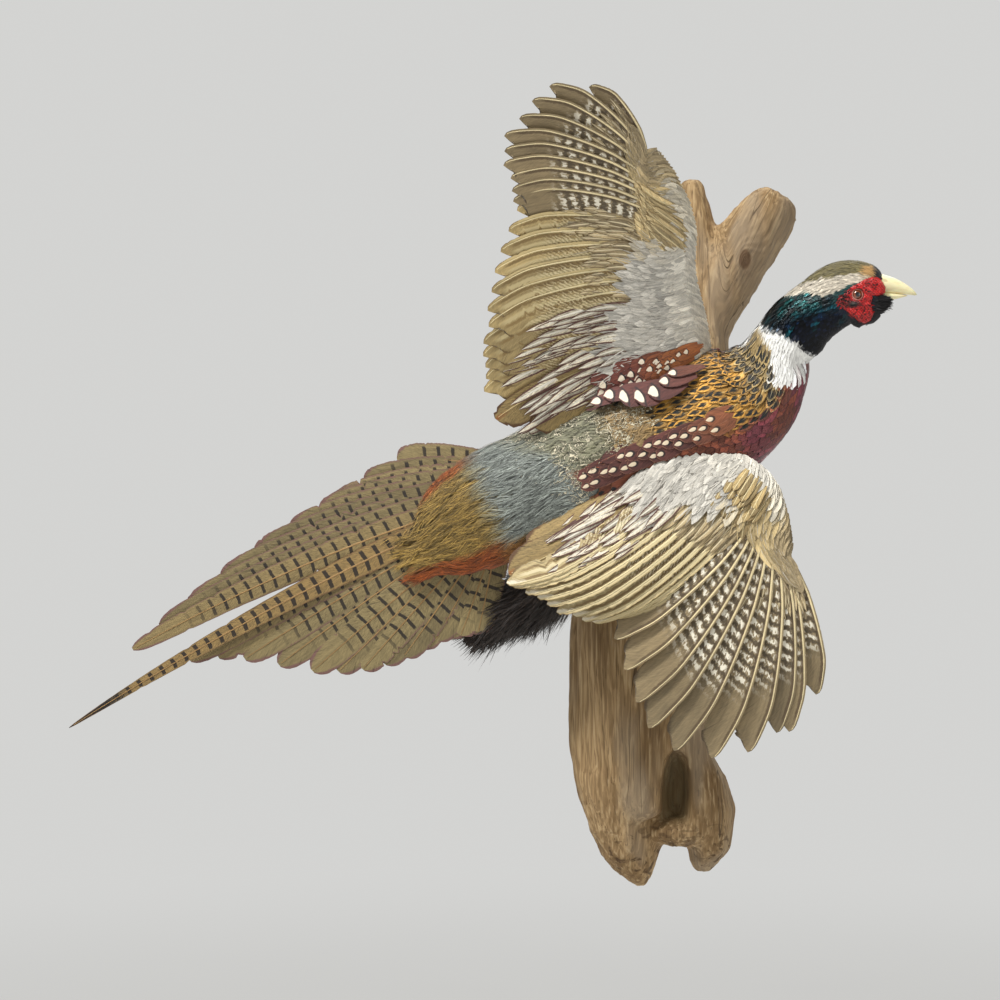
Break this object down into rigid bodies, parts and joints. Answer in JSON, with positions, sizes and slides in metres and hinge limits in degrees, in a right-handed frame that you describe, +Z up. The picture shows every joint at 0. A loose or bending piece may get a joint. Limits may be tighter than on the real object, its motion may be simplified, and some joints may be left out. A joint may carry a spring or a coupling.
{
  "type": "taxidermy pheasant",
  "caption": "Life-size cock ring-necked pheasant mounted in banking flight, wings spread and tail fanned, held by its belly on a forked piece of driftwood that hangs on a wall.",
  "frame": {"origin": "hanging point on the sawn flat back of the driftwood, where it meets the wall", "axes": "+Y into the wall, +Z up, +X to the right of a viewer who faces the wall; the bird's back faces the viewer at -Y and its head is towards +X"},
  "size_m": [0.7616, 0.2848, 0.717],
  "materials": {
    "plumage": "soft contour feathers",
    "head_plumage": "glossy iridescent feathers and red wattle",
    "wing_coverts": "soft overlapping feathers",
    "flight_feathers": "barred vanes with pale shafts",
    "tail_feathers": "olive-tan vanes with black bars",
    "thigh_plumage": "loose dark down",
    "leg_skin": "horny scales and claws",
    "bill": "horn, satin",
    "eye": "glass taxidermy eye, polished",
    "driftwood": "weathered, dry and grooved"
  },
  "bodies": {
    "root": {"driftwood": "driftwood", "trunk": "plumage", "neck": "plumage", "head": "head_plumage", "eye_left": "eye", "eye_right": "eye", "bill_upper": "bill", "bill_lower": "bill", "wing_left_upper_arm": "wing_coverts", "wing_left_forearm": "wing_coverts", "wing_left_hand": "wing_coverts", "wing_left_primaries": "flight_feathers", "wing_left_secondaries": "flight_feathers", "wing_left_tertials": "flight_feathers", "wing_right_upper_arm": "wing_coverts", "wing_right_forearm": "wing_coverts", "wing_right_hand": "wing_coverts", "wing_right_primaries": "flight_feathers", "wing_right_secondaries": "flight_feathers", "wing_right_tertials": "flight_feathers", "tail": "tail_feathers", "leg_left_thigh": "thigh_plumage", "leg_left_shank": "leg_skin", "leg_left_foot": "leg_skin", "leg_right_thigh": "thigh_plumage", "leg_right_shank": "leg_skin", "leg_right_foot": "leg_skin"}
  },
  "joints": []
}
